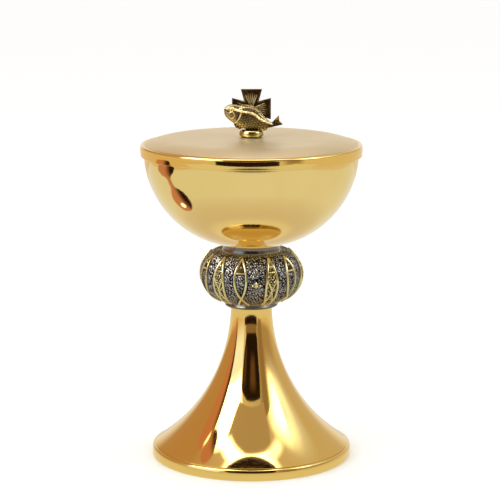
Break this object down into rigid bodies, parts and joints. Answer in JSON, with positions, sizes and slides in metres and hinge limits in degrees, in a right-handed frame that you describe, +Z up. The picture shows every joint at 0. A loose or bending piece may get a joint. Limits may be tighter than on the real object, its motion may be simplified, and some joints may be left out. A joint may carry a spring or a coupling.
{
  "type": "ciborium",
  "caption": "Lidded ciborium: round bowl with a lift-off lid, cross and fish finial, ornamented knop and tall flared foot.",
  "frame": {"origin": "centre of the circle that the foot stands on, at table height", "axes": "+Z up along the vessel's axis; the front of the finial's cross and its fish face -Y"},
  "size_m": [0.124, 0.124, 0.2089],
  "materials": {
    "lid_gold": "satin gold plate, fine turned grain",
    "polished_gold": "mirror polished gold plate",
    "relief_gold": "gilded relief with dark recesses",
    "oxidised_silver": "silver plate over a grained casting, oxidised in the hollows",
    "polished_silver": "polished silver plate",
    "plain_brass": "plain machined brass",
    "steel": "zinc plated steel"
  },
  "bodies": {
    "vessel": {"foot_shell": "polished_gold", "base_band": "polished_gold", "lower_collar": "polished_silver", "knop_body": "oxidised_silver", "knop_fish_01": "relief_gold", "knop_fish_02": "relief_gold", "knop_fish_03": "relief_gold", "knop_fish_04": "relief_gold", "knop_fish_05": "relief_gold", "knop_fish_06": "relief_gold", "knop_fish_07": "relief_gold", "knop_fish_08": "relief_gold", "knop_fish_09": "relief_gold", "knop_fish_10": "relief_gold", "knop_fish_11": "relief_gold", "knop_fish_12": "relief_gold", "knop_sprigs": "relief_gold", "upper_collar": "polished_silver", "bowl_shell": "polished_gold", "bowl_boss": "plain_brass", "tie_rod": "steel", "tie_washer": "steel", "tie_nut": "steel"},
    "lid": {"lid_shell": "lid_gold", "finial_bead": "polished_gold", "finial_cross": "relief_gold", "finial_fish": "relief_gold", "finial_stud": "plain_brass", "finial_washer": "plain_brass", "finial_nut": "plain_brass"}
  },
  "joints": [
    {"name": "lid_lift", "type": "slide", "parent": "vessel", "child": "lid", "axis": [0, 0, 1], "range_m": [0, 0.12]}
  ]
}
